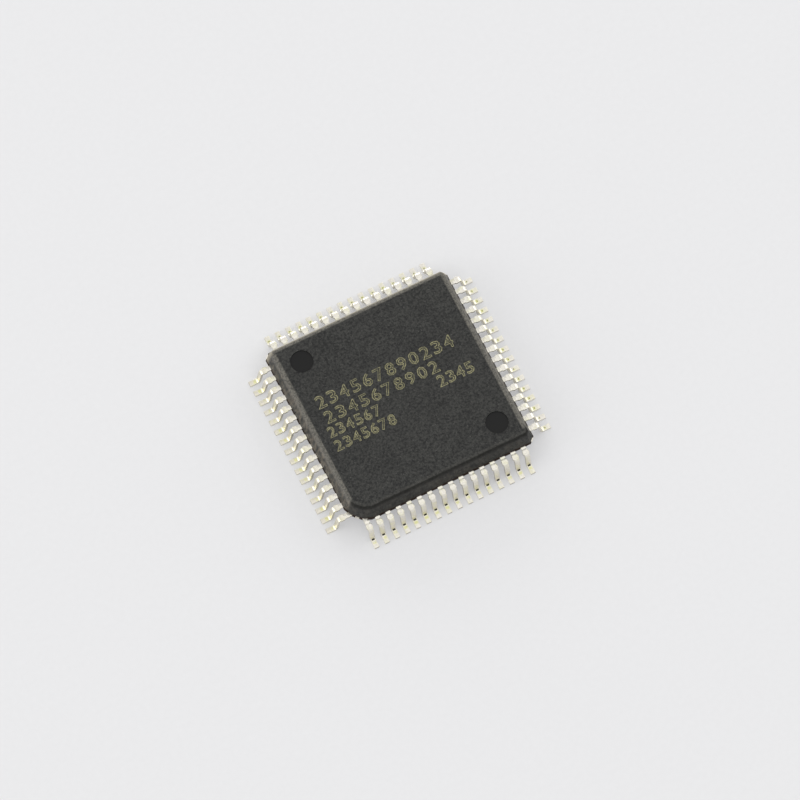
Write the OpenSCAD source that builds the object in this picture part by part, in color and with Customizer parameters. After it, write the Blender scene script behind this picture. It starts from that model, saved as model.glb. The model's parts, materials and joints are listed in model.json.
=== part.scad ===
// Quad flat pack: a moulded chip package with gull-wing leads on all four sides.
//
// Millimetres. +Z is up, and the feet stand on the plane z = 0. The origin is the
// centre of the package on that plane. The index corner, with the large cut, is
// front left (-X, -Y). Leads count anticlockwise from it, seen from above: the
// front row runs left to right, then the right row front to back, and so on.
//
// Every piece of the front row is drawn at the front (-Y) and turned in quarter
// turns for the other rows. Below, "reach" is a distance out from the centre.

/* [Package body] */
// Width of the moulded body across its parting line
body_w = 14; // [13.6:0.1:16]
// Thickness of the moulded body
body_t = 2.7; // [2.3:0.05:3.4]
// Gap between the seating plane and the underside of the body
standoff = 0.15; // [0.05:0.05:0.4]
// Height of the lead frame's middle above the underside of the body
frame_level = 1.3; // [1.1:0.05:1.5]
// Slope of the sides away from the mould's parting line, in degrees
draft = 14.5; // [5:0.5:18]
// Rounding of the rims round the top face and the underside
rim_r = 0.25; // [0.1:0.05:0.35]
// How far the lip at the parting line stands out past the sides
parting_lip = 0.03; // [0.01:0.01:0.06]
// How far above and below the lip stops short of the lead frame's faces
parting_set = 0.01; // [0.005:0.005:0.03]
// Length cut off each edge at the index corner
index_cut = 1.1; // [0.6:0.05:1.4]
// Length cut off each edge at the other three corners
corner_cut = 0.4; // [0.2:0.05:0.5]
// How much of the point is eased off where the index corner's cut meets a side
corner_ease = 0.15; // [0.02:0.01:0.2]
// Diameter of the round marks that the mould's ejector pins leave
ejector_d = 1.6; // [0.8:0.1:2.2]
// Depth of the ejector pin marks
ejector_depth = 0.1; // [0.04:0.02:0.2]
// Width of the bevel round an ejector pin mark
ejector_bevel = 0.03; // [0.01:0.01:0.04]
// Distance from the body's edges in to the centre of an ejector pin mark
ejector_inset = 2; // [1.8:0.1:3]

/* [Leads outside the body] */
// Leads on each side of the body
leads_per_side = 16; // [8:4:16]
// Distance from lead to lead
pitch = 0.8; // [0.7:0.01:0.84]
// Width of a lead
lead_w = 0.35; // [0.25:0.01:0.4]
// Thickness of the lead frame's metal
lead_t = 0.17; // [0.12:0.01:0.22]
// Distance from the body's edge to the tip of a foot
lead_reach = 1.6; // [1.4:0.05:2]
// Length of the flat underside of a foot
foot_l = 0.47; // [0.3:0.01:0.6]
// Inside radius of the bend at a lead's shoulder
shoulder_r = 0.12; // [0.1:0.01:0.2]
// Inside radius of the bend at a lead's heel
heel_r = 0.2; // [0.1:0.01:0.25]
// Lean of a lead's leg away from upright, in degrees
leg_lean = 10; // [2:1:16]
// Distance from the body's edge out to the stubs of the cut dam bar
dam_start = 0.24; // [0.15:0.01:0.3]
// Length of a dam bar stub along its lead
dam_l = 0.32; // [0.2:0.01:0.4]
// How far a dam bar stub stands out from the side of its lead
dam_stub = 0.055; // [0.02:0.005:0.08]
// Slope of a dam bar stub's ends, measured along the lead
dam_ease = 0.06; // [0.01:0.01:0.08]

/* [Lead frame inside the body] */
// Length of a lead that stays straight behind the body's edge
straight_l = 0.35; // [0.2:0.05:0.6]
// Gap between the die pad and the inner tips of the leads
tip_gap = 1.2; // [0.9:0.05:1.5]
// Width of a lead at its inner tip
tip_w = 0.25; // [0.15:0.01:0.3]
// Distance from the corner where two rows of tips would meet to the last tip
tip_corner_gap = 0.75; // [0.7:0.05:1.2]
// Margin of the die pad round the die
pad_margin = 0.7; // [0.4:0.05:0.9]
// How far the die pad lies below the leads
pad_drop = 0.3; // [0.2:0.05:0.4]
// Width of the tie bars that carry the die pad
tie_w = 0.3; // [0.2:0.01:0.36]
// Length of a tie bar that stays level past the die pad's corner
tie_level_l = 0.3; // [0.1:0.05:0.5]
// Slope of a tie bar where it steps up to the leads, in degrees
tie_slope = 35; // [25:1:45]
// How far a cut tie bar stands out of the body's corner
tie_stub = 0.05; // [0.01:0.01:0.1]

/* [Die and bond wires] */
// Width of the silicon die
die_w = 5.2; // [4.4:0.1:6]
// Thickness of the silicon die
die_t = 0.35; // [0.2:0.01:0.4]
// Thickness of the adhesive under the die
adhesive_t = 0.03; // [0.02:0.01:0.05]
// How far the adhesive spreads past the die
adhesive_rim = 0.12; // [0.05:0.01:0.3]
// Diameter of a bond wire
wire_d = 0.03; // [0.02:0.005:0.04]
// Diameter of the ball that joins a bond wire to the die
ball_d = 0.08; // [0.06:0.01:0.1]
// Height of the ball on the die
ball_h = 0.02; // [0.01:0.005:0.03]
// Height of the upright neck above the ball
neck_h = 0.12; // [0.08:0.01:0.2]
// Radius of the bend at the top of a bond wire
loop_r = 0.08; // [0.05:0.01:0.12]
// Distance from the die's edge in to the balls
ball_inset = 0.12; // [0.08:0.01:0.3]
// Distance from the die's corner to the last ball of a row
ball_corner_gap = 0.35; // [0.3:0.01:0.6]
// Distance from a lead's inner tip out to where its wire lands
landing_inset = 0.15; // [0.1:0.01:0.3]

/* [Hidden] */
$fn = 48;
// How many leads share a node by their numbers, and as many wires do
leads_per_node = 4;
leads = 4 * leads_per_side;
groups = leads / leads_per_node;

function two_digits(n) = str(n < 10 ? "0" : "", n);
function group_name(kind, g) =
    str(kind, "_", two_digits(g * leads_per_node + 1), "_to_", two_digits((g + 1) * leads_per_node));

// Heights
body_bottom = standoff;
body_top = standoff + body_t;
frame_mid = standoff + frame_level;
frame_top = frame_mid + lead_t / 2;
frame_bottom = frame_mid - lead_t / 2;
pad_top = frame_top - pad_drop;
pad_bottom = pad_top - lead_t;
die_bottom = pad_top + adhesive_t;
die_top = die_bottom + die_t;

// Reaches from the centre
body_reach = body_w / 2;
toe_reach = body_reach + lead_reach;
fan_reach = body_reach - straight_l;
pad_w = die_w + 2 * pad_margin;
tip_reach = pad_w / 2 + tip_gap;
ball_reach = die_w / 2 - ball_inset;
landing_reach = tip_reach + landing_inset;

// Spacing along a row
tip_pitch = 2 * (tip_reach - tip_corner_gap) / (leads_per_side - 1);
ball_pitch = (die_w - 2 * ball_corner_gap) / (leads_per_side - 1);
function along(i, step) = (i - (leads_per_side - 1) / 2) * step;

// Bends of a lead, seen from its side: x runs outwards and y up
heel_x = toe_reach - foot_l;
heel_z = lead_t + heel_r;
shoulder_z = frame_bottom - shoulder_r;
leg_run = (shoulder_r + lead_t + heel_r + (shoulder_z - heel_z) * sin(leg_lean)) / cos(leg_lean);
shoulder_x = heel_x - leg_run;
leg_l = (shoulder_z - heel_z) * cos(leg_lean) + leg_run * sin(leg_lean);

// Longer than anything here, and how far a cut runs past what it cuts
big = 4 * toe_reach;
cut_through = 1;

// Draws the front row's piece with this number's $place in a row, turned to the number's own row
module in_rows(first, last)
    for (n = [first : last]) {
        $place = n % leads_per_side;
        rotate(90 * floor(n / leads_per_side)) children();
    }

// ---------------------------------------------------------------- package body

// Distance from the centre to a corner cut that takes this length off each edge
function corner_reach(cut) = (body_w - cut) / sqrt(2);
// Distance from the centre to the eased point between a side and a corner cut
ease_turn = 22.5;
function ease_reach(cut) =
    body_reach * cos(ease_turn) + (body_reach - cut) * sin(ease_turn) - corner_ease;

// Half of a side view of the body whose parting line is at this reach
function half_section(reach) =
    let (
        side = reach - parting_lip,
        edge_top = frame_top - parting_set,
        edge_bottom = frame_bottom + parting_set,
        top_reach = side - (body_top - edge_top) * tan(draft),
        bottom_reach = side - (edge_bottom - body_bottom) * tan(draft),
        rim_back = rim_r * tan(45 - draft / 2),
        turn = 90 - draft,
        steps = 6
    )
    concat(
        [for (s = [0 : steps])
            let (a = -90 + turn * s / steps)
            [bottom_reach - rim_back + rim_r * cos(a), body_bottom + rim_r + rim_r * sin(a)]],
        [[side, edge_bottom], [reach, edge_bottom], [reach, edge_top], [side, edge_top]],
        [for (s = [0 : steps])
            let (a = draft + turn * s / steps)
            [top_reach - rim_back + rim_r * cos(a), body_top - rim_r + rim_r * sin(a)]]
    );

// How far the parting line's outline reaches out in a direction
function outline_reach(turn) =
    let (at_index = turn > 180 && turn < 270)
    turn % 90 == 0 ? body_reach
    : turn % 45 == 0 ? corner_reach(at_index ? index_cut : corner_cut)
    : at_index ? ease_reach(index_cut) : body_w;

// Everything between two opposite drafted sides at these reaches
module drafted_band(left, right) {
    left_side = half_section(left);
    last = len(left_side) - 1;
    rotate([90, 0, 0])
        linear_extrude(height = big, center = true)
            polygon(concat(
                half_section(right),
                [for (k = [last : -1 : 0]) [-left_side[k][0], left_side[k][1]]]
            ));
}

// The outer form: sides, corner cuts and eased points are all bands with one section.
// An eased point is cut at the index corner only, and its band is wide elsewhere.
module moulding()
    intersection_for (turn = [0, 90, 45, 135, ease_turn, 90 - ease_turn])
        rotate(turn) drafted_band(outline_reach(turn + 180), outline_reach(turn));

// A shallow round mark with a bevelled edge, cut down from z = 0
module ejector_mark() {
    translate([0, 0, -ejector_depth])
        cylinder(d = ejector_d, h = ejector_depth + cut_through);
    translate([0, 0, -ejector_bevel])
        cylinder(d1 = ejector_d, d2 = ejector_d + 2 * (ejector_bevel + cut_through),
            h = ejector_bevel + cut_through);
}

// Marks at the back left and front right corners, above and below
module ejector_marks() {
    place = body_reach - ejector_inset;
    for (side = [-1, 1])
        translate([side * place, -side * place, 0]) {
            translate([0, 0, body_top]) ejector_mark();
            translate([0, 0, body_bottom]) mirror([0, 0, 1]) ejector_mark();
        }
}

// The places of all the leads, level with the parting line
module lead_slots()
    translate([0, 0, frame_bottom])
        linear_extrude(lead_t)
            in_rows(0, leads - 1) lead_plan($place);

// The moulding fills the space round everything that it seals in
module package_body()
    color([0.2, 0.2, 0.19])
        difference() {
            moulding();
            ejector_marks();
            lead_slots();
            die_pad_form();
            die_adhesive_form();
            die_form();
            in_rows(0, leads - 1) wire_form($place);
        }

// ----------------------------------------------------------------------- leads

// A lead of the front row from above, from its fanned inner tip to its toe
module lead_plan(i) {
    tip_x = along(i, tip_pitch);
    row_x = along(i, pitch);
    dam_reach = body_reach + dam_start;
    // Middle, half width and reach at each change of width
    stations = [
        [tip_x, tip_w / 2, tip_reach],
        [row_x, lead_w / 2, fan_reach],
        [row_x, lead_w / 2, dam_reach],
        [row_x, lead_w / 2 + dam_stub, dam_reach + dam_ease],
        [row_x, lead_w / 2 + dam_stub, dam_reach + dam_l - dam_ease],
        [row_x, lead_w / 2, dam_reach + dam_l],
        [row_x, lead_w / 2, toe_reach]
    ];
    last = len(stations) - 1;
    polygon(concat(
        [for (s = stations) [s[0] - s[1], -s[2]]],
        [for (k = [last : -1 : 0]) [stations[k][0] + stations[k][1], -stations[k][2]]]
    ));
}

// A stretch of bent sheet, from one angle to another about the bend's centre
module bend(inside_r, from, to) {
    outside_r = inside_r + lead_t;
    past = 2 * outside_r;
    difference() {
        circle(outside_r);
        circle(inside_r);
        rotate(to) translate([-past, 0]) square([2 * past, past]);
        rotate(from) translate([-past, -past]) square([2 * past, past]);
    }
}

// The gull-wing from its side: x is the reach from the centre, and y is the height
module lead_side() {
    inner_end = tip_reach - cut_through;
    translate([inner_end, frame_bottom]) square([shoulder_x - inner_end, lead_t]);
    translate([shoulder_x, shoulder_z]) {
        bend(shoulder_r, leg_lean, 90);
        rotate(leg_lean) translate([shoulder_r, -leg_l]) square([lead_t, leg_l]);
    }
    translate([heel_x, heel_z]) bend(heel_r, 180 + leg_lean, 270);
    translate([heel_x, 0]) square([foot_l + cut_through, lead_t]);
}

// One whole lead of the front row: its side view and its plan, each extruded
module lead(i)
    intersection() {
        rotate([90, 0, -90])
            linear_extrude(height = big, center = true) lead_side();
        translate([0, 0, -cut_through])
            linear_extrude(frame_top + 2 * cut_through) lead_plan(i);
    }

module lead_group(g)
    color([0.86, 0.84, 0.76])
        in_rows(g * leads_per_node, (g + 1) * leads_per_node - 1) lead($place);

// --------------------------------------------------------------------- die pad

// A tie bar along +X from the centre, stepping up from the pad to the leads
module tie_bar(reach) {
    step_start = pad_w / sqrt(2) + tie_level_l;
    step_end = step_start + pad_drop / tan(tie_slope);
    under = lead_t * tan(tie_slope / 2);
    rotate([90, 0, 0])
        linear_extrude(height = tie_w, center = true)
            polygon([
                [0, pad_top],
                [step_start, pad_top],
                [step_end, frame_top],
                [reach + tie_stub, frame_top],
                [reach + tie_stub, frame_bottom],
                [step_end + under, frame_bottom],
                [step_start + under, pad_bottom],
                [0, pad_bottom]
            ]);
}

module die_pad_form() {
    translate([-pad_w / 2, -pad_w / 2, pad_bottom]) cube([pad_w, pad_w, lead_t]);
    for (corner = [0 : 3])
        rotate(225 + 90 * corner)
            tie_bar(corner_reach(corner == 0 ? index_cut : corner_cut));
}

module die_pad()
    color([0.75, 0.6, 0.48]) die_pad_form();

// --------------------------------------------------------------- die and wires

module die_adhesive_form() {
    w = die_w + 2 * adhesive_rim;
    translate([-w / 2, -w / 2, pad_top]) cube([w, w, adhesive_t]);
}

module die_adhesive()
    color([0.6, 0.6, 0.58]) die_adhesive_form();

module die_form()
    translate([-die_w / 2, -die_w / 2, die_bottom]) cube([die_w, die_w, die_t]);

module silicon_die()
    color([0.38, 0.4, 0.46]) die_form();

// A bond wire of the front row: ball, neck, bend and a straight run to its lead
module wire_form(i) {
    fan_share = landing_inset / (fan_reach - tip_reach);
    landing_x = along(i, tip_pitch) * (1 - fan_share) + along(i, pitch) * fan_share;
    ball = [along(i, ball_pitch), -ball_reach];
    span = [landing_x, -landing_reach] - ball;
    run = norm(span) - loop_r;
    drop = die_top + ball_h + neck_h - frame_top;
    fall = atan2(drop, run) + asin(loop_r / norm([run, drop]));
    straight = sqrt(run * run + drop * drop - loop_r * loop_r);
    past = 4 * wire_d;
    translate([ball[0], ball[1], die_top])
        rotate(atan2(span[1], span[0])) {
            cylinder(d = ball_d, h = ball_h);
            cylinder(d = wire_d, h = ball_h + neck_h);
            translate([loop_r, 0, ball_h + neck_h])
                rotate([90, 0, 0])
                    rotate([0, 0, 90 - fall])
                        rotate_extrude(angle = 90 + fall)
                            translate([loop_r, 0]) circle(d = wire_d);
            difference() {
                translate([loop_r, 0, ball_h + neck_h])
                    rotate([0, 90 + fall, 0])
                        translate([-loop_r, 0, 0])
                            cylinder(d = wire_d, h = straight + past);
                translate([0, -big / 2, frame_top - die_top - big])
                    cube(big);
            }
        }
}

module wire_group(g)
    color([0.9, 0.72, 0.3])
        in_rows(g * leads_per_node, (g + 1) * leads_per_node - 1) wire_form($place);

// ----------------------------------------------------------------------- nodes

package_body();
die_pad();
die_adhesive();
silicon_die();
for (g = [0 : groups - 1]) {
    lead_group(g);
    wire_group(g);
}
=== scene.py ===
"""Finish, marking and setting of a square chip package with gull-wing leads."""

import json
import math

import bmesh
import bpy
from bpy.props import FloatProperty, FloatVectorProperty, IntProperty, PointerProperty
from mathutils import Matrix, Vector

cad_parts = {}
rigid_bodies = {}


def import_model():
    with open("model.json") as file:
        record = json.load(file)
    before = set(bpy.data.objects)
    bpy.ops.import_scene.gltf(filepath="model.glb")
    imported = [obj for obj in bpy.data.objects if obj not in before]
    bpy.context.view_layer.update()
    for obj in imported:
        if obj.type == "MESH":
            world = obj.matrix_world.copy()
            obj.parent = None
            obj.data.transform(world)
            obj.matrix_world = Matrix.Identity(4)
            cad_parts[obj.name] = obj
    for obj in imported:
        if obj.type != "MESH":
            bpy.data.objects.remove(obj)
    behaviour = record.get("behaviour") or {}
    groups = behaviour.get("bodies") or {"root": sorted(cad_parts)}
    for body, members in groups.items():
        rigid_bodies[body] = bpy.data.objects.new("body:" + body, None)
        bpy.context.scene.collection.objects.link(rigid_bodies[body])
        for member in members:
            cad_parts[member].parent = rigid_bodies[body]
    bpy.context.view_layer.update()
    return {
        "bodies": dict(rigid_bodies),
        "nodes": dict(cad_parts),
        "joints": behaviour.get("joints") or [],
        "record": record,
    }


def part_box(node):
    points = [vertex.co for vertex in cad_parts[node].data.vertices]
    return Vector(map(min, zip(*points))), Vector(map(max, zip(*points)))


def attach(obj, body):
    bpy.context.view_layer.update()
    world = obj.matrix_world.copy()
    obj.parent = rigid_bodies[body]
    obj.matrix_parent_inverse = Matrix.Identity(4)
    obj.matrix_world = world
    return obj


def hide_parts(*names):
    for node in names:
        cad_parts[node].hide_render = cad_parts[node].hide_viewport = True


for leftover in list(bpy.data.objects):
    bpy.data.objects.remove(leftover)

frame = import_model()
BODY_LOW, BODY_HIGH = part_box("package_body")
LEAD_LOW, LEAD_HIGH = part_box("leads_01_to_04")

bl_info = {
    "name": "Quad flat pack chip",
    "version": (1, 0, 0),
    "blender": (4, 5, 0),
    "location": "3D View > Sidebar > Chip",
    "description": "Builds the visible pieces of a square chip package and its setting",
    "category": "Object",
}

MM = 0.001
ROOT = "root"
GROUPS = 16
GROUP_SIZE = 4
MARK_PROUD = 0.003 * MM
# Each line's numbers, left end, foot, pitch, and the width and height of a number
MARK_LINES = (
    ("234567890234", -5.45 * MM, 1.31 * MM, 0.89 * MM, 0.61 * MM, 0.90 * MM),
    ("2345678902", -5.39 * MM, 0.11 * MM, 0.89 * MM, 0.61 * MM, 0.86 * MM),
    ("234567", -5.68 * MM, -0.91 * MM, 0.685 * MM, 0.50 * MM, 0.76 * MM),
    ("2345", 2.72 * MM, -0.98 * MM, 0.705 * MM, 0.54 * MM, 0.82 * MM),
    ("2345678", -5.68 * MM, -1.99 * MM, 0.68 * MM, 0.50 * MM, 0.76 * MM),
)
# In metres: how close counts as level, how close to a vertex a cut goes through it, and how
# far outside a frame something is still picked
CLOSE, SNAP, SLACK = 1e-8, 1e-9, 1e-7
FACING = 0.9  # A face whose normal has more than this along an axis faces that way
UPRIGHT_ROUND = 0.05 * MM
BEND_STEPS = 8
PIN_POINTS = 64
FLOOR_SIZE = 6.0
ROOM_GLOW = 0.76
# Each lamp's place, the size of its panel, and its glow against white paper in the room
LAMPS = {
    "left_lamp": ((-1.0, 0.1, 0.45), (0.9, 0.9), 1.65),
    "right_lamp": ((1.0, 0.2, 0.45), (0.9, 0.9), 1.1),
    "back_lamp": ((0.1, 1.0, 0.25), (1.3, 0.5), 2.2),
    "top_lamp": ((0.13, -0.2, 1.0), (0.9, 1.2), 0.27),
}
CAMERA_TURN = (25.281, 70.5166, -1.3317)  # Azimuth, elevation and roll, in degrees
CAMERA_DISTANCE = 600.47 * MM
CAMERA_TARGET = (0.2115, 0.34867, 0)  # In millimetres
SENSOR_WIDTH = 36.0
LENS = 8696.7 / 800 * SENSOR_WIDTH


# ------------------------------------------------------------------ properties


def length(name, description, default, **more):
    return FloatProperty(
        name=name, description=description, default=default, unit="LENGTH", precision=5, **more
    )


def angle(name, description, degrees):
    return FloatProperty(
        name=name, description=description, default=math.radians(degrees), subtype="ANGLE"
    )


def colour(name, description, default):
    return FloatVectorProperty(
        name=name, description=description, default=default, size=3, min=0, max=1, subtype="COLOR"
    )


class CHIP_PG_body(bpy.types.PropertyGroup):
    width: length("Width", "Moulded body across the parting line", BODY_HIGH.x - BODY_LOW.x)
    bottom: length("Underside", "Height of the underside above the board", BODY_LOW.z)
    top: length("Top", "Height of the top face above the board", BODY_HIGH.z)
    lip: length("Lip", "How far the parting line's lip stands out", 0.03 * MM)
    lip_set: length("Lip set-back", "How far the lip stops short of the lead's faces", 0.01 * MM)
    draft: angle("Draft", "Slope of the sides away from the parting line", 14.5)
    rim: length("Rim radius", "Rounding round the top face and the underside", 0.25 * MM)
    index_cut: length("Index cut", "Length cut off each edge at the index corner", 1.1 * MM)
    corner_cut: length("Corner cut", "Length cut off each edge at the other corners", 0.4 * MM)
    corner_ease: length("Corner ease", "How much of the index corner's points is eased", 0.15 * MM)
    pin_d: length("Pin mark diameter", "Diameter of an ejector pin mark", 1.6 * MM)
    pin_depth: length("Pin mark depth", "Depth of an ejector pin mark", 0.1 * MM)
    pin_bevel: length("Pin mark bevel", "Bevel round an ejector pin mark", 0.03 * MM)
    pin_inset: length("Pin mark inset", "Body edge to the centre of a pin mark", 2 * MM)


class CHIP_PG_leads(bpy.types.PropertyGroup):
    per_side: IntProperty(
        name="Leads a side", description="Leads along each side", default=GROUPS * GROUP_SIZE // 4
    )
    pitch: length("Pitch", "Distance from lead to lead", 0.8 * MM)
    width: length("Width", "Width of a lead", 0.35 * MM)
    thickness: length("Thickness", "Thickness of the lead frame", 0.17 * MM)
    body: length("Body reach", "Centre of the package to the body's side", BODY_HIGH.y)
    tip: length("Tip reach", "Centre of the package to the inner tips", -LEAD_HIGH.y)
    tip_width: length("Tip width", "Width of a lead's inner tip", 0.25 * MM)
    tip_pitch: length("Tip pitch", "Distance from inner tip to inner tip", 0.5 * MM)
    fan: length("Fan reach", "Centre of the package to where the leads fan in", 6.65 * MM)
    top: length("Shoulder height", "Height of the shoulder's top", LEAD_HIGH.z)
    toe: length("Toe reach", "Centre of the package to the toes", -LEAD_LOW.y)
    foot: length("Foot length", "Flat length of the foot", 0.47 * MM)
    shoulder_r: length("Shoulder radius", "Inside radius of the shoulder bend", 0.12 * MM)
    heel_r: length("Heel radius", "Inside radius of the heel bend", 0.2 * MM)
    lean: angle("Leg lean", "Lean of the leg from upright", 10)
    dam_start: length("Stub start", "Body to the start of the dam bar's stubs", 0.24 * MM)
    dam_length: length("Stub length", "Length of the dam bar's stubs", 0.32 * MM)
    dam_width: length("Stub width", "How far a stub stands out", 0.055 * MM)
    dam_ease: length("Stub ease", "Slope at each end of a stub", 0.06 * MM)
    edge: length("Edge rounding", "Rounding that stamping and plating leave", 0.018 * MM)


class CHIP_PG_marking(bpy.types.PropertyGroup):
    stroke: length("Stroke", "Width of each of the marking's strokes", 0.075 * MM)


class CHIP_PG_finish(bpy.types.PropertyGroup):
    compound: colour("Compound", "Moulding compound", (0.0185, 0.0185, 0.0165))
    tin: colour("Tin", "Tin plating on the leads", (0.90, 0.865, 0.78))
    copper: colour("Copper", "Bare copper alloy where the frame was cut", (0.42, 0.36, 0.28))
    mark: colour("Mark", "Laser-scribed marking", (0.28, 0.262, 0.14))
    silicon: colour("Silicon", "Die", (0.12, 0.13, 0.16))
    gold: colour("Gold", "Bond wires", (0.83, 0.60, 0.20))
    floor: colour("Floor", "Pale floor", (0.85, 0.85, 0.86))


SIZES = (
    ("chip_body", CHIP_PG_body),
    ("chip_leads", CHIP_PG_leads),
    ("chip_marking", CHIP_PG_marking),
    ("chip_finish", CHIP_PG_finish),
)


# --------------------------------------------------------------- shader writing


class Value:
    """A socket of one value. An expression on it adds its Math nodes."""

    def __init__(self, finish, socket):
        self.finish, self.socket = finish, socket

    def math(self, operation, *others):
        return self.finish.add("ShaderNodeMath", {"operation": operation}, self, *others)

    def __add__(self, other):
        return self.math("ADD", other)

    def __sub__(self, other):
        return self.math("SUBTRACT", other)

    def __rsub__(self, other):
        return self.finish.add("ShaderNodeMath", {"operation": "SUBTRACT"}, other, self)

    def __mul__(self, other):
        return self.math("MULTIPLY", other)

    def __truediv__(self, other):
        return self.math("DIVIDE", other)

    def __gt__(self, other):
        return self.math("GREATER_THAN", other)

    def __lt__(self, other):
        return self.math("LESS_THAN", other)

    __radd__, __rmul__ = __add__, __mul__

    def size(self):
        return self.math("ABSOLUTE")

    def most(self, other):
        return self.math("MAXIMUM", other)

    def least(self, other):
        return self.math("MINIMUM", other)

    def ramp(self, start, end):
        """0 below start and 1 above end, eased between, or the other way round."""
        return self.finish.add(
            "ShaderNodeMapRange", {"interpolation_type": "SMOOTHSTEP"}, self, start, end, 0.0, 1.0
        )


class Finish:
    """A material with one principled shader, written node by node."""

    def __init__(self, name):
        self.material = bpy.data.materials.new(name)
        self.material.use_nodes = True
        self.nodes = self.material.node_tree.nodes
        self.links = self.material.node_tree.links
        self.shader = next(n for n in self.nodes if n.type == "BSDF_PRINCIPLED")
        self.output = next(n for n in self.nodes if n.type == "OUTPUT_MATERIAL")

    def feed(self, socket, value):
        if isinstance(value, Value):
            self.links.new(value.socket, socket)
        elif hasattr(socket.default_value, "__len__"):
            numbers = [value] * 3 if isinstance(value, (int, float)) else list(value)
            socket.default_value = (numbers + [1.0])[: len(socket.default_value)]
        else:
            socket.default_value = value

    def add(self, kind, settings=None, *values, out=0, **named):
        """Adds a node, sets its settings, feeds its sockets by place or by name."""
        node = self.nodes.new(kind)
        for key, setting in (settings or {}).items():
            setattr(node, key, setting)
        for socket, value in zip(node.inputs, values):
            if value is not None:
                self.feed(socket, value)
        for key, value in named.items():
            self.feed(node.inputs[key.replace("_", " ")], value)
        shown = [s for s in node.outputs if s.enabled]
        return Value(self, node.outputs[out] if isinstance(out, str) else shown[out])

    def place(self, turn=0.0, stretch=(1, 1, 1)):
        """Object coordinates, turned about Z and stretched."""
        spot = self.add("ShaderNodeTexCoord", out="Object")
        if turn or tuple(stretch) != (1, 1, 1):
            spot = self.add("ShaderNodeMapping", None, spot, Rotation=(0, 0, turn), Scale=stretch)
        return spot

    def xyz(self, vector):
        parts = self.add("ShaderNodeSeparateXYZ", None, vector)
        node = parts.socket.node
        return [Value(self, s) for s in node.outputs]

    def noise(self, grain, where, detail=3.0, roughness=0.55):
        """Noise whose lumps are about this many metres across."""
        return self.add(
            "ShaderNodeTexNoise", Vector=where, Scale=1 / grain, Detail=detail,
            Roughness=roughness,
        )

    def blend(self, share, first, second):
        """Colour between two others."""
        return self.add("ShaderNodeMixRGB", {"blend_type": "MIX"}, share, first, second)

    def bump(self, height, depth, under=None):
        """Raises the surface by height times a depth in metres."""
        named = {"Height": height, "Strength": 1.0, "Distance": depth}
        if under is not None:
            named["Normal"] = under
        return self.add("ShaderNodeBump", None, **named)

    def set(self, **sockets):
        for key, value in sockets.items():
            self.feed(self.shader.inputs[key.replace("_", " ")], value)
        return self.material


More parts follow.
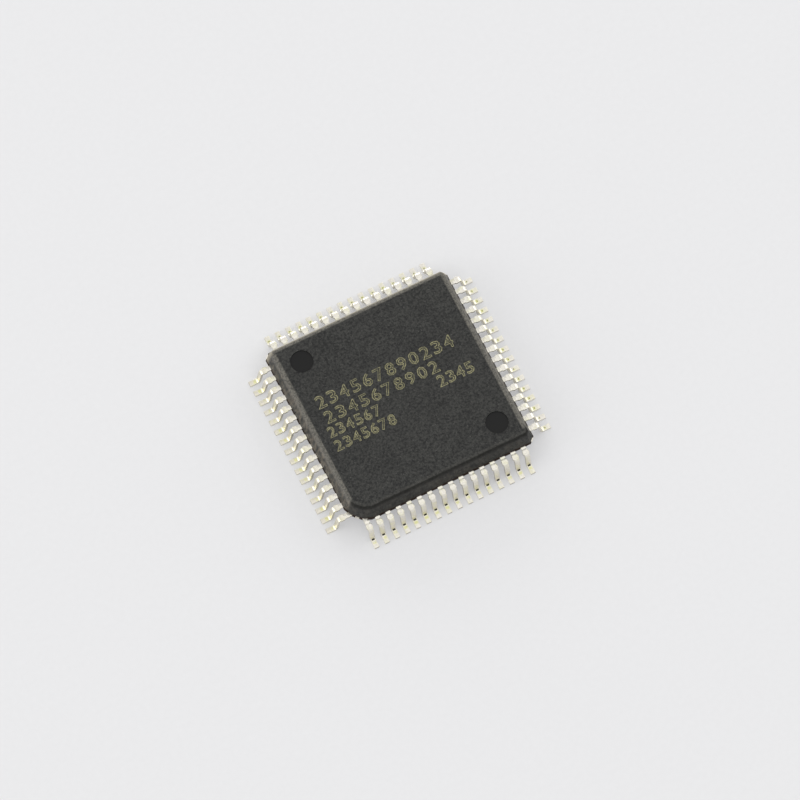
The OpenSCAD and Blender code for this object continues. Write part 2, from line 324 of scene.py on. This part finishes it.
def compound_finish(body, leads, finish):
    """Matt black moulding compound: sparked mould texture, pale specks that are part filler and
    part painted glints, rubbed rims with painted highlights, and painted shade on the front.
    """
    f = Finish("moulding_compound")
    here = f.place()
    x, y, z = f.xyz(here)
    top = z.ramp(body.top - 0.16 * MM, body.top - 0.02 * MM)
    side = 1 - top
    grain = f.noise(0.16 * MM, here, 5.0, 0.75)
    cloud = f.noise(1.6 * MM, here, 3.0)
    # Pale specks: partly filler, partly painted glints
    speck = f.noise(0.07 * MM, here, 1.0).ramp(0.66, 0.76)
    lump = f.noise(0.32 * MM, here, 3.0, 0.6)
    level = (grain - 0.5) * (cloud * 4.0 + 1.5) + (lump - 0.5) * 1.2 + (cloud - 0.5) * 0.8 + 0.5
    dark, pale = (tuple(c * k for c in finish.compound) for k in (0.1, 1.9))
    plain = f.blend(level, dark, pale)
    specks_and_glints = f.blend(speck * 0.4, plain, (0.16, 0.16, 0.15))
    # The sides rub against trays and tubes: long brownish streaks, and pale scuffs on the rim.
    # Both are painted weaker on the front, as painted shade
    streak = f.noise(0.3 * MM, f.place(stretch=(1, 1, 0.4)), 5.0, 0.75).ramp(0.44, 0.62)
    straight = x.size().most(y.size())
    half, cut = body.width / 2, body.index_cut
    corner = (x + y) * -math.sqrt(0.5) - ((math.sqrt(2) - 1) * half - cut * math.sqrt(0.5))
    # Mask of the front side and the index corner: the streaks and scuffs below are weaker there,
    # which paints the front side as shaded
    facing = y.ramp(-6.0 * MM, -6.3 * MM).most((corner - straight).ramp(-0.15 * MM, 0.05 * MM))
    away = 1 - facing
    streaked_and_side_lit = f.blend(streak * side * (away * 0.42 + 0.10), specks_and_glints, (0.19, 0.158, 0.12))
    # The rim runs from the edge of the top's flat to the top of the drafted side
    rise = body.top - (leads.top - body.lip_set)
    rim_end = half - body.lip - rise * math.tan(body.draft)
    reach = straight.most(corner)
    edge = reach.ramp(rim_end - 0.32 * MM, rim_end - 0.20 * MM) * reach.ramp(
        rim_end + 0.12 * MM, rim_end - 0.02 * MM
    )
    back = y.ramp(6.2 * MM, 6.5 * MM)
    rim_noise = f.noise(0.12 * MM, here, 4.0, 0.75).ramp(0.25, 0.7)
    # Rim scuffs: partly wear, partly painted highlights where the rounded rim catches the lamps,
    # so weak on the front
    scuff_and_rim_highlight = edge * rim_noise * (away * 0.6 + 0.12)
    scuffed_and_rim_highlit = f.blend(scuff_and_rim_highlight, streaked_and_side_lit, (0.24, 0.225, 0.19))
    # Painted highlight on the back rim. Known fault: with no lower end, this paints it over the
    # whole back side and not just its rim
    lit = reach.ramp(rim_end - 0.12 * MM, rim_end) * back * (rim_noise * 0.5 + 0.5)
    rubbed_and_back_highlit = f.blend(lit * 0.8, scuffed_and_rim_highlit, (0.36, 0.32, 0.24))
    low = z.ramp(body.top - 0.25 * MM, body.top - 0.5 * MM)
    rough = 0.28 + top * 0.22 + low * (0.25 - away * 0.1) + grain * 0.2 + scuff_and_rim_highlight * 0.15
    height = grain + f.noise(0.035 * MM, here, 2.0) * 0.5
    bumps = f.bump(height, 0.006 * MM)
    material = f.set(Base_Color=rubbed_and_back_highlit, Roughness=rough, Normal=bumps, Specular_IOR_Level=0.4)
    # Dark coat: a thin resin bleed on the parting line, and a painted dark reflection on the
    # rounded front rim below its scuff
    seam = (z - (leads.top - leads.thickness / 2)).size().ramp(0.22 * MM, 0.08 * MM)
    shade_line = z.ramp(body.top - 0.01 * MM, body.top - 0.06 * MM) * z.ramp(
        body.top - 0.50 * MM, body.top - 0.20 * MM
    )
    bleed_and_shade = f.blend(seam, (0.010, 0.010, 0.009), (0.030, 0.013, 0.006))
    bleed_and_shade_coat = f.add(
        "ShaderNodeBsdfPrincipled", Base_Color=bleed_and_shade,
        Roughness=0.55 + grain * 0.2, Specular_IOR_Level=0.08, Normal=bumps,
    )
    # The coat covers the front rim as painted shade, and the parting line as real resin bleed
    share = (shade_line * facing * (rim_noise * 0.3 + 0.55)).most(seam * 0.8)
    both = f.add("ShaderNodeMixShader", None, share, Value(f, f.shader.outputs["BSDF"]), bleed_and_shade_coat)
    f.links.new(both.socket, f.output.inputs["Surface"])
    return material


def pin_floor_finish():
    """The floor of an ejector pin mark, which copies the pin's ground face."""
    f = Finish("ground_pin_mark")
    here = f.place()
    grain = f.noise(0.05 * MM, here, 3.0)
    shade = f.blend(grain, (0.007, 0.007, 0.007), (0.012, 0.012, 0.0115))
    return f.set(
        Base_Color=shade, Roughness=0.26 + grain * 0.12, Specular_IOR_Level=0.2,
        Normal=f.bump(grain, 0.001 * MM),
    )


def mark_finish(finish):
    """Laser-scribed strokes: charred compound, olive and matt, uneven in strength."""
    f = Finish("scribed_mark")
    here = f.place()
    patch = f.noise(0.12 * MM, here, 3.0, 0.6)
    shade = f.blend(patch.ramp(0.35, 0.65), (0.10, 0.095, 0.05), tuple(finish.mark))
    return f.set(Base_Color=shade, Roughness=0.75, Normal=f.bump(patch, 0.004 * MM))


def tin_finish(leads, finish):
    """Satin tin plating with a faint yellow tint, flux at the heels, and painted dark reflections
    in spots there.
    """
    f = Finish("satin_tin")
    here = f.place()
    x, y, z = f.xyz(here)
    grain = f.noise(0.03 * MM, here, 3.0, 0.6)
    patch = f.noise(0.35 * MM, here, 2.0)
    reach, heel = x.size().most(y.size()), leads.toe - leads.foot
    aside = ((x.size().least(y.size()) / leads.pitch).math("FRACT") - 0.5).size() * leads.pitch
    low = z < 0.6 * MM
    # Flux left behind each heel, then painted dark reflections in spots: dark at the front row's
    # heels, small and olive on the feet to the right and at the back
    flux = reach.ramp(heel - 0.10 * MM, heel) * reach.ramp(heel + 0.22 * MM, heel + 0.10 * MM)
    flux = flux * aside.ramp(0.16 * MM, 0.08 * MM) * patch.ramp(0.30, 0.55) * low
    plated = f.blend(x.ramp(-7.0 * MM, -7.4 * MM) * 0.5, tuple(finish.tin), (0.78, 0.73, 0.60))
    cloud = f.noise(0.14 * MM, here, 3.0, 0.7).ramp(0.40, 0.66)
    dull = f.blend(cloud * 0.4, plated, (0.66, 0.63, 0.56))
    shade = f.blend((patch.ramp(0.45, 0.7) * 0.3).most(flux), dull, (0.80, 0.79, 0.42))
    front = y < -7.2 * MM
    rest = (x > 7.2 * MM).most(y > 7.2 * MM)
    painted_heel_reflection = (reach > heel - 0.19 * MM) * (reach < heel - 0.10 * MM) * (aside < 0.105 * MM)
    shade = f.blend(painted_heel_reflection * low * front * 0.95, shade, (0.012, 0.011, 0.006))
    painted_foot_reflection = (reach > heel + 0.04 * MM) * (reach < heel + 0.11 * MM) * (aside < 0.05 * MM)
    shade = f.blend(painted_foot_reflection * low * rest * 0.75, shade, (0.16, 0.15, 0.05))
    # Rolled strip stays smooth on the flat of the shoulder, and forming dulls the rest
    flat = (z > leads.top - 0.01 * MM) * (reach < leads.body + 0.46 * MM)
    root = reach.ramp(leads.body + 0.17 * MM, leads.body)  # a slight fillet next to the moulding
    return f.set(
        Base_Color=shade, Metallic=1.0,
        Roughness=(0.25 + grain * 0.16 + patch * 0.1) * (1 - flat * 0.5),
        Normal=f.bump(grain, 0.0008 * MM, f.bump(root, 0.03 * MM)),
    )


def cut_copper_finish(finish):
    """Sheared copper alloy, part smeared over with tin."""
    f = Finish("sheared_copper")
    here = f.place()
    smear = f.noise(0.05 * MM, f.place(stretch=(1, 1, 4)), 3.0, 0.6)
    shade = f.blend(smear.ramp(0.35, 0.55), tuple(finish.copper), (0.60, 0.59, 0.52))
    return f.set(
        Base_Color=shade, Metallic=1.0, Roughness=0.42 + smear * 0.2,
        Normal=f.bump(f.noise(0.02 * MM, here, 2.0), 0.001 * MM),
    )


def frame_finish(finish):
    """Bare copper alloy of the lead frame, tinned only where a tie bar's end is outside."""
    f = Finish("lead_frame_alloy")
    x, y, _ = f.xyz(f.place())
    grain = f.noise(0.02 * MM, f.place(math.pi / 4, (1, 8, 1)), 3.0)
    outside = ((x.size() + y.size()) / math.sqrt(2)).ramp(9.0 * MM, 9.05 * MM)
    bare = f.blend(grain, (0.50, 0.31, 0.21), (0.62, 0.40, 0.28))
    shade = f.blend(outside, bare, tuple(finish.tin))
    return f.set(Base_Color=shade, Metallic=1.0, Roughness=0.3 + grain * 0.15)


def adhesive_finish():
    """Silver-filled die adhesive: dull grey with flakes."""
    f = Finish("silver_adhesive")
    flake = f.noise(0.02 * MM, f.place(), 2.0)
    shade = f.blend(flake, (0.30, 0.30, 0.28), (0.55, 0.55, 0.52))
    return f.set(
        Base_Color=shade, Metallic=0.4, Roughness=0.55 + flake * 0.2,
        Normal=f.bump(flake, 0.002 * MM),
    )


def silicon_finish(finish):
    """Polished silicon with fine grids of metal tracks on its face."""
    f = Finish("silicon")
    blocks = f.add(
        "ShaderNodeTexVoronoi", {"distance": "CHEBYCHEV"}, Vector=f.place(),
        Scale=1 / (0.5 * MM), out="Color",
    )
    tone = f.add("ShaderNodeRGBToBW", None, blocks)
    shade = f.blend(tone * 0.5, tuple(finish.silicon), (0.22, 0.20, 0.26))
    return f.set(Base_Color=shade, Metallic=0.6, Roughness=0.18 + tone * 0.1)


def gold_finish(finish):
    """Drawn gold wire."""
    f = Finish("gold_wire")
    grain = f.noise(0.01 * MM, f.place(), 2.0)
    shade = f.blend(grain, tuple(finish.gold), (0.90, 0.68, 0.28))
    return f.set(Base_Color=shade, Metallic=1.0, Roughness=0.16 + grain * 0.1)


def floor_finish(finish):
    """Pale matt board. The camera and gloss see part of it as plain colour: a faint shadow."""
    f = Finish("pale_board")
    fibre = f.noise(0.4 * MM, f.place(), 3.0)
    pale = tuple(finish.floor)
    shade = f.blend(fibre, tuple(c * 0.84 for c in pale), tuple(c * 0.90 for c in pale))
    material = f.set(Base_Color=shade, Roughness=0.8)
    path = f.add("ShaderNodeLightPath").socket.node.outputs
    camera, gloss, clear = (
        Value(f, path[f"Is {ray} Ray"]) for ray in ("Camera", "Glossy", "Transmission")
    )
    plain = f.add("ShaderNodeEmission", Color=pale, Strength=1.0)
    board = Value(f, f.shader.outputs["BSDF"])
    share = camera * 0.4 + gloss.most(clear) * 0.15
    both = f.add("ShaderNodeMixShader", None, share, board, plain)
    f.links.new(both.socket, f.output.inputs["Surface"])
    return material


# ------------------------------------------------------------- shared modelling


def alone(piece):
    """Makes this piece the only selected one, in object mode."""
    if bpy.context.mode != "OBJECT":
        bpy.ops.object.mode_set(mode="OBJECT")
    bpy.ops.object.select_all(action="DESELECT")
    bpy.context.view_layer.objects.active = piece
    piece.select_set(True)


def begin(name, primitive, scale=(1, 1, 1), **where):
    """Adds a primitive in edit mode, with nothing else selected."""
    if bpy.context.mode != "OBJECT":
        bpy.ops.object.mode_set(mode="OBJECT")
    bpy.ops.object.select_all(action="DESELECT")
    primitive(**where)
    piece = bpy.context.object
    piece.name = piece.data.name = name
    piece.scale = scale
    bpy.ops.object.transform_apply(location=True, rotation=True, scale=True)
    bpy.ops.object.mode_set(mode="EDIT")
    return piece


def pick(piece, kind, test):
    """Selects the verts, edges or faces that pass a test."""
    bpy.ops.mesh.select_mode(type={"verts": "VERT", "edges": "EDGE", "faces": "FACE"}[kind])
    bpy.ops.mesh.select_all(action="DESELECT")
    shape = bmesh.from_edit_mesh(piece.data)
    shape.normal_update()
    chosen = [item for item in getattr(shape, kind) if test(item)]
    for item in chosen:
        item.select_set(True)
    shape.select_flush_mode()
    bmesh.update_edit_mesh(piece.data)
    if not chosen:
        raise RuntimeError(f"{piece.name}: nothing to pick among its {kind}")


def modifier(piece, kind, **settings):
    """Adds a modifier and applies it."""
    alone(piece)
    made = piece.modifiers.new(kind.lower(), kind)
    for key, value in settings.items():
        setattr(made, key, value)
    bpy.ops.object.modifier_apply(modifier=made.name)


def outward(piece):
    """Points every face outwards."""
    alone(piece)
    bpy.ops.object.mode_set(mode="EDIT")
    bpy.ops.mesh.select_all(action="SELECT")
    bpy.ops.mesh.normals_make_consistent(inside=False)
    bpy.ops.object.mode_set(mode="OBJECT")


def spread(piece):
    """A piece's lowest and highest corners."""
    spots = [v.co for v in piece.data.vertices]
    return (
        Vector(min(s[i] for s in spots) for i in range(3)),
        Vector(max(s[i] for s in spots) for i in range(3)),
    )


def dress(piece, *materials):
    """Gives a piece these materials in place of what it has."""
    piece.data.materials.clear()
    for material in materials:
        piece.data.materials.append(material)


# ------------------------------------------------------------------- operators


class CHIP_OT_moulded_body(bpy.types.Operator):
    """Models the moulded body with its lip, drafted sides, rounded rims and pin marks"""

    bl_idname = "chip.moulded_body"
    bl_label = "Moulded body"

    def execute(self, context):
        scene = context.scene
        body, leads, finish = scene.chip_body, scene.chip_leads, scene.chip_finish
        lip_top = leads.top - body.lip_set
        lip_bottom = leads.top - leads.thickness + body.lip_set
        piece = begin(
            "moulding", bpy.ops.mesh.primitive_plane_add, size=body.width,
            location=(0, 0, lip_bottom),
        )
        self.outline(piece, body)
        bpy.ops.mesh.select_all(action="SELECT")
        bpy.ops.mesh.extrude_region_move(
            TRANSFORM_OT_translate={"value": (0, 0, lip_top - lip_bottom)}
        )
        # The marking stands on the top face, so the face itself is a hair lower
        top = body.top - MARK_PROUD
        for up, start, end in ((1, lip_top, top), (-1, lip_bottom, body.bottom)):
            pick(piece, "faces", lambda f: f.normal.z * up > FACING)
            bpy.ops.mesh.inset(thickness=body.lip, use_even_offset=True)
            height = abs(end - start)
            bpy.ops.mesh.inset(
                thickness=height * math.tan(body.draft), depth=height, use_even_offset=True
            )
        self.round_off(piece, body, top)
        dress(piece, compound_finish(body, leads, finish), pin_floor_finish())
        for way in ((-1, 1), (1, -1)):
            self.pin_mark(piece, body, way, top, 1)
            self.pin_mark(piece, body, way, body.bottom, -1)
        outward(piece)
        bpy.ops.object.shade_smooth_by_angle(angle=math.radians(35))
        modifier(piece, "WEIGHTED_NORMAL", keep_sharp=True)
        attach(piece, ROOT)
        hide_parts("package_body")
        return {"FINISHED"}

    def outline(self, piece, body):
        """Cuts the corners of the square at the parting line, the index corner more."""
        edge = body.width / 2 - 0.01 * MM
        pick(piece, "verts", lambda v: v.co.x > 0 or v.co.y > 0)
        bpy.ops.mesh.bevel(offset=body.corner_cut, affect="VERTICES", segments=1)
        pick(piece, "verts", lambda v: v.co.x < -edge and v.co.y < -edge)
        bpy.ops.mesh.bevel(offset=body.index_cut, affect="VERTICES", segments=1)
        pick(piece, "verts", lambda v: v.co.x + v.co.y < -2 * edge + 1.5 * body.index_cut)
        along = body.corner_ease / math.sin(math.radians(22.5))
        bpy.ops.mesh.bevel(offset=along, affect="VERTICES", segments=1)

    def round_off(self, piece, body, top):
        """Rounds the upright corners a little, then the rims of the top and the underside."""
        def upright(e):
            return (
                abs((e.verts[0].co - e.verts[1].co).normalized().z) > FACING
                and e.calc_face_angle(0) > math.radians(30)
            )

        pick(piece, "edges", upright)
        bpy.ops.mesh.bevel(offset=UPRIGHT_ROUND, affect="EDGES", segments=3)
        for height, up in ((top, 1), (body.bottom, -1)):
            def rim(e):
                return (
                    all(abs(v.co.z - height) < CLOSE for v in e.verts)
                    and any(f.normal.z * up < FACING for f in e.link_faces)
                )

            pick(piece, "edges", rim)
            back = body.rim * math.tan((math.pi / 2 - body.draft) / 2)
            bpy.ops.mesh.bevel(offset=back, affect="EDGES", segments=6)

    def pin_mark(self, piece, body, way, level, up):
        """Sinks a round mark with a bevelled edge into the top or the underside."""
        x, y = (side * (body.width / 2 - body.pin_inset) for side in way)
        radius = body.pin_d / 2 + body.pin_bevel
        frame = radius * 1.3

        def flat(f):
            return f.normal.z * up > 0.9999

        def near(v, reach):
            return max(abs(v.x - x), abs(v.y - y)) < reach and abs(v.z - level) < CLOSE

        def inside(e):
            return all(near(v.co, frame + SLACK) for v in e.verts)

        for co, no in (
            ((x - frame, 0, 0), (1, 0, 0)), ((x + frame, 0, 0), (1, 0, 0)),
            ((0, y - frame, 0), (0, 1, 0)), ((0, y + frame, 0), (0, 1, 0)),
        ):
            pick(piece, "faces", flat)
            bpy.ops.mesh.bisect(plane_co=co, plane_no=no, threshold=SNAP)
        pick(piece, "faces", lambda f: flat(f) and near(f.calc_center_median(), radius))
        bpy.ops.mesh.delete(type="ONLY_FACE")
        pick(piece, "edges", inside)
        bpy.ops.mesh.subdivide(number_cuts=PIN_POINTS // 4 - 1)
        bpy.ops.mesh.primitive_circle_add(
            vertices=PIN_POINTS, radius=radius, location=(x, y, level)
        )
        pick(piece, "edges", inside)
        bpy.ops.mesh.bridge_edge_loops()
        pick(piece, "edges", lambda e: all(near(v.co, radius + SLACK) for v in e.verts))
        bpy.ops.mesh.edge_face_add()
        bpy.ops.mesh.normals_make_consistent(inside=False)
        # Known fault: on the top face this depth raises the ring instead of sinking it
        bpy.ops.mesh.inset(thickness=body.pin_bevel, depth=-body.pin_bevel)
        bpy.ops.mesh.extrude_region_move(
            TRANSFORM_OT_translate={"value": (0, 0, up * (body.pin_bevel - body.pin_depth))}
        )
        piece.active_material_index = 1
        bpy.ops.object.material_slot_assign()


class CHIP_OT_leads(bpy.types.Operator):
    """Models one gull-wing lead and sets its copies along the four sides"""

    bl_idname = "chip.leads"
    bl_label = "Leads"

    def execute(self, context):
        leads, finish = context.scene.chip_leads, context.scene.chip_finish
        pattern = self.one_lead(leads)
        dress(pattern, tin_finish(leads, finish), cut_copper_finish(finish))
        self.cut_ends(pattern, leads)
        modifier(
            pattern, "BEVEL", width=leads.edge, segments=2, limit_method="ANGLE",
            angle_limit=math.radians(35),
        )
        bpy.ops.object.shade_smooth_by_angle(angle=math.radians(50))
        modifier(pattern, "WEIGHTED_NORMAL", keep_sharp=True)
        for group in range(GROUPS):
            first = group * GROUP_SIZE
            name = f"leads_{first + 1:02d}_to_{first + GROUP_SIZE:02d}"
            copies = [
                self.copy(pattern, leads, number) for number in range(first, first + GROUP_SIZE)
            ]
            alone(copies[0])
            for piece in copies:
                piece.select_set(True)
            bpy.ops.object.join()
            piece = bpy.context.object
            piece.name = piece.data.name = "plated_" + name
            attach(piece, ROOT)
            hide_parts(name)
        bpy.data.objects.remove(pattern)
        return {"FINISHED"}

    def one_lead(self, leads):
        """A lead in the middle of the front row, from its inner tip to its toe."""
        low = leads.top - leads.thickness
        shoulder_z, heel_z = low - leads.shoulder_r, leads.thickness + leads.heel_r
        heel_y = leads.toe - leads.foot
        drop, lean = shoulder_z - heel_z, leads.lean
        run = (leads.shoulder_r + heel_z + drop * math.sin(lean)) / math.cos(lean)
        shoulder_y = heel_y - run
        leg = drop * math.cos(lean) + run * math.sin(lean)
        turn = math.pi / 2 - lean
        piece = begin(
            "lead", bpy.ops.mesh.primitive_plane_add, size=1, rotation=(math.pi / 2, 0, 0),
            location=(0, -leads.tip, leads.top - leads.thickness / 2),
            scale=(leads.tip_width, leads.thickness, 1),
        )
        bpy.ops.mesh.select_all(action="SELECT")

        def go(y, z=0.0):
            bpy.ops.mesh.extrude_region_move(TRANSFORM_OT_translate={"value": (0, -y, z)})

        go(leads.fan - leads.tip)
        bpy.ops.transform.resize(
            value=(leads.width / leads.tip_width, 1, 1), center_override=(0, 0, 0)
        )
        go(shoulder_y - leads.fan)
        bpy.ops.mesh.spin(
            steps=BEND_STEPS, angle=-turn, center=(0, -shoulder_y, shoulder_z), axis=(1, 0, 0)
        )
        go(leg * math.sin(lean), -leg * math.cos(lean))
        bpy.ops.mesh.spin(
            steps=BEND_STEPS, angle=turn, center=(0, -heel_y, heel_z), axis=(1, 0, 0)
        )
        go(leads.foot)
        self.stubs(piece, leads)
        outward(piece)
        return piece

    def stubs(self, piece, leads):
        """The two stubs that the dam bar leaves, with a slope at each end."""
        start = leads.body + leads.dam_start
        end = start + leads.dam_length
        for reach in (start, start + leads.dam_ease, end - leads.dam_ease, end):
            bpy.ops.mesh.select_all(action="SELECT")
            bpy.ops.mesh.bisect(plane_co=(0, -reach, 0), plane_no=(0, 1, 0), threshold=SNAP)
        for side in (-1, 1):
            pick(
                piece, "faces",
                lambda f: f.normal.x * side > FACING and start < -f.calc_center_median().y < end,
            )
            bpy.ops.mesh.extrude_region_move(
                TRANSFORM_OT_translate={"value": (side * leads.dam_width, 0, 0)}
            )
            pick(
                piece, "verts",
                lambda v: v.co.x * side > leads.width / 2 + leads.dam_width / 2
                and min(abs(-v.co.y - start), abs(-v.co.y - end)) < CLOSE,
            )
            bpy.ops.transform.translate(value=(-side * leads.dam_width, 0, 0))
        bpy.ops.mesh.select_all(action="SELECT")
        bpy.ops.mesh.remove_doubles(threshold=CLOSE)

    def cut_ends(self, piece, leads):
        """Marks the faces where the frame was sheared: the toe and the stubs' ends."""
        alone(piece)
        bpy.ops.object.mode_set(mode="EDIT")
        stub = leads.width / 2 + leads.dam_width - CLOSE
        pick(
            piece, "faces",
            lambda f: f.normal.y < -FACING and f.calc_center_median().y < -leads.toe + CLOSE
            or abs(f.calc_center_median().x) > stub,
        )
        piece.active_material_index = 1
        bpy.ops.object.material_slot_assign()
        bpy.ops.object.mode_set(mode="OBJECT")

    def copy(self, pattern, leads, number):
        """A copy with its own mesh, its inner tip fanned in, turned to its own row."""
        piece = pattern.copy()
        piece.data = pattern.data.copy()
        bpy.context.scene.collection.objects.link(piece)
        row, place = divmod(number, leads.per_side)
        step = place - (leads.per_side - 1) / 2
        fan = step * (leads.tip_pitch - leads.pitch)
        for vertex in piece.data.vertices:
            if vertex.co.y > -(leads.tip + leads.fan) / 2:
                vertex.co.x += fan
        turn = Matrix.Rotation(row * math.pi / 2, 4, "Z")
        piece.data.transform(turn @ Matrix.Translation((step * leads.pitch, 0, 0)))
        return piece


class CHIP_OT_marking(bpy.types.Operator):
    """Lays lines of plain counting numbers on the top face at an even pitch"""

    bl_idname = "chip.marking"
    bl_label = "Marking"

    def execute(self, context):
        scene = context.scene
        marking = scene.chip_marking
        level = scene.chip_body.top - MARK_PROUD
        figures = {figure: self.figure(figure) for figure in "0123456789"}
        placed = []
        for text, left, foot, pitch, width, height in MARK_LINES:
            for place, figure in enumerate(text):
                piece = figures[figure].copy()
                piece.data = piece.data.copy()
                scene.collection.objects.link(piece)
                spot = Matrix.Translation((left + place * pitch + width / 2, foot, level))
                piece.data.transform(spot @ Matrix.Diagonal((width, height, 1, 1)))
                self.stroke(piece, marking.stroke, level)
                placed.append(bpy.context.object)
        for pattern in figures.values():
            bpy.data.objects.remove(pattern)
        alone(placed[0])
        for piece in placed:
            piece.select_set(True)
        bpy.ops.object.join()
        piece = bpy.context.object
        piece.name = piece.data.name = "marking"
        dress(piece, mark_finish(scene.chip_finish))
        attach(piece, ROOT)
        return {"FINISHED"}

    def figure(self, figure):
        """The outline of one number, one high and at most one wide, as loose edges."""
        if bpy.context.mode != "OBJECT":
            bpy.ops.object.mode_set(mode="OBJECT")
        bpy.ops.object.select_all(action="DESELECT")
        bpy.ops.object.text_add()
        text = bpy.context.object.data
        text.body = figure
        text.fill_mode = "NONE"
        text.resolution_u = 2
        bpy.ops.object.convert(target="MESH")
        piece = bpy.context.object
        low, high = spread(piece)
        across, up = 1 / max(high.x - low.x, 0.35), 1 / (high.y - low.y)
        shift = Matrix.Translation((-(low.x + high.x) / 2 * across, -low.y * up, 0))
        piece.data.transform(shift @ Matrix.Diagonal((across, up, 1, 1)))
        return piece

    def stroke(self, piece, width, level):
        """Gives the outline its stroke, flattened until it is level with the top face."""
        alone(piece)
        bpy.ops.object.convert(target="CURVE")
        line = bpy.context.object
        line.data.bevel_depth = width / 2
        line.data.bevel_resolution = 0
        bpy.ops.object.convert(target="MESH")
        piece = bpy.context.object
        flat = 2 * 0.9 * MARK_PROUD / width
        for vertex in piece.data.vertices:
            vertex.co.z = level + (vertex.co.z - level) * flat


class CHIP_OT_sealed_parts(bpy.types.Operator):
    """Finishes the die pad, adhesive, die and bond wires inside the moulding"""

    bl_idname = "chip.sealed_parts"
    bl_label = "Sealed parts"

    def execute(self, context):
        finish = context.scene.chip_finish
        finishes = {
            "die_pad": frame_finish(finish),
            "die_adhesive": adhesive_finish(),
            "silicon_die": silicon_finish(finish),
            "wires": gold_finish(finish),
        }
        for name, node in frame["nodes"].items():
            kind = "wires" if name.startswith("wires") else name
            if kind in finishes:
                dress(node, finishes[kind])
        return {"FINISHED"}


class CHIP_OT_stage(bpy.types.Operator):
    """Sets the pale floor, the soft lamps and the camera"""

    bl_idname = "chip.stage"
    bl_label = "Floor, lamps and camera"

    def execute(self, context):
        scene = context.scene
        floor = begin(
            "floor", bpy.ops.mesh.primitive_plane_add, size=FLOOR_SIZE, location=(0, 0, 0)
        )
        bpy.ops.object.mode_set(mode="OBJECT")
        dress(floor, floor_finish(scene.chip_finish))
        self.world(scene)
        for name, settings in LAMPS.items():
            self.lamp(name, *settings)
        self.camera(scene)
        return {"FINISHED"}

    def world(self, scene):
        world = scene.world = bpy.data.worlds.new("soft_room")
        world.use_nodes = True
        tree = world.node_tree
        tree.nodes.clear()
        out = tree.nodes.new("ShaderNodeOutputWorld")
        ground = tree.nodes.new("ShaderNodeBackground")
        ground.inputs["Color"].default_value = (1.0, 1.0, 1.0, 1)
        ground.inputs["Strength"].default_value = ROOM_GLOW
        tree.links.new(ground.outputs[0], out.inputs["Surface"])

    def lamp(self, name, place, size, glow):
        """A soft panel facing the chip, as bright as glow times white paper in the room."""
        data = bpy.data.lights.new(name, "AREA")
        data.shape, data.size, data.size_y = "RECTANGLE", *size
        data.energy = glow * math.pi * size[0] * size[1]
        lamp = bpy.data.objects.new(name, data)
        bpy.context.scene.collection.objects.link(lamp)
        lamp.location = place
        lamp.rotation_euler = (-Vector(place)).to_track_quat("-Z", "Y").to_euler()

    def camera(self, scene):
        azimuth, elevation, roll = (math.radians(d) for d in CAMERA_TURN)
        back = Vector(
            (-math.sin(azimuth) * math.cos(elevation), -math.cos(azimuth) * math.cos(elevation),
             math.sin(elevation))
        )
        right = Vector((math.cos(azimuth), -math.sin(azimuth), 0))
        up = back.cross(right)
        across = right * math.cos(roll) + up * math.sin(roll)
        upward = up * math.cos(roll) - right * math.sin(roll)
        target = Vector(CAMERA_TARGET) * MM
        data = bpy.data.cameras.new("camera")
        data.sensor_fit, data.sensor_width = "HORIZONTAL", SENSOR_WIDTH
        data.lens = LENS
        data.clip_start, data.clip_end = 0.01, 50.0
        camera = bpy.data.objects.new("camera", data)
        scene.collection.objects.link(camera)
        turn = Matrix((across, upward, back)).transposed().to_4x4()
        camera.matrix_world = Matrix.Translation(target + back * CAMERA_DISTANCE) @ turn
        scene.camera = camera
        scene.view_settings.view_transform = "Standard"


class CHIP_PT_parts(bpy.types.Panel):
    """Lists the chip's pieces and their sizes"""

    bl_idname = "CHIP_PT_parts"
    bl_label = "Chip package"
    bl_space_type = "VIEW_3D"
    bl_region_type = "UI"
    bl_category = "Chip"

    def draw(self, context):
        for name, group in SIZES:
            box = self.layout.box()
            for key in group.__annotations__:
                box.prop(getattr(context.scene, name), key)
        for operator in OPERATORS:
            self.layout.operator(operator.bl_idname)


OPERATORS = (
    CHIP_OT_moulded_body, CHIP_OT_marking, CHIP_OT_leads, CHIP_OT_sealed_parts, CHIP_OT_stage
)
CLASSES = (*(group for _, group in SIZES), *OPERATORS, CHIP_PT_parts)


def register():
    for kind in CLASSES:
        bpy.utils.register_class(kind)
    for name, group in SIZES:
        setattr(bpy.types.Scene, name, PointerProperty(type=group))


def unregister():
    for name, _ in SIZES:
        delattr(bpy.types.Scene, name)
    for kind in reversed(CLASSES):
        bpy.utils.unregister_class(kind)


def make_chip():
    register()
    bpy.ops.chip.moulded_body()
    bpy.ops.chip.marking()
    bpy.ops.chip.leads()
    bpy.ops.chip.sealed_parts()
    bpy.ops.chip.stage()


if __name__ == "__main__":
    make_chip()
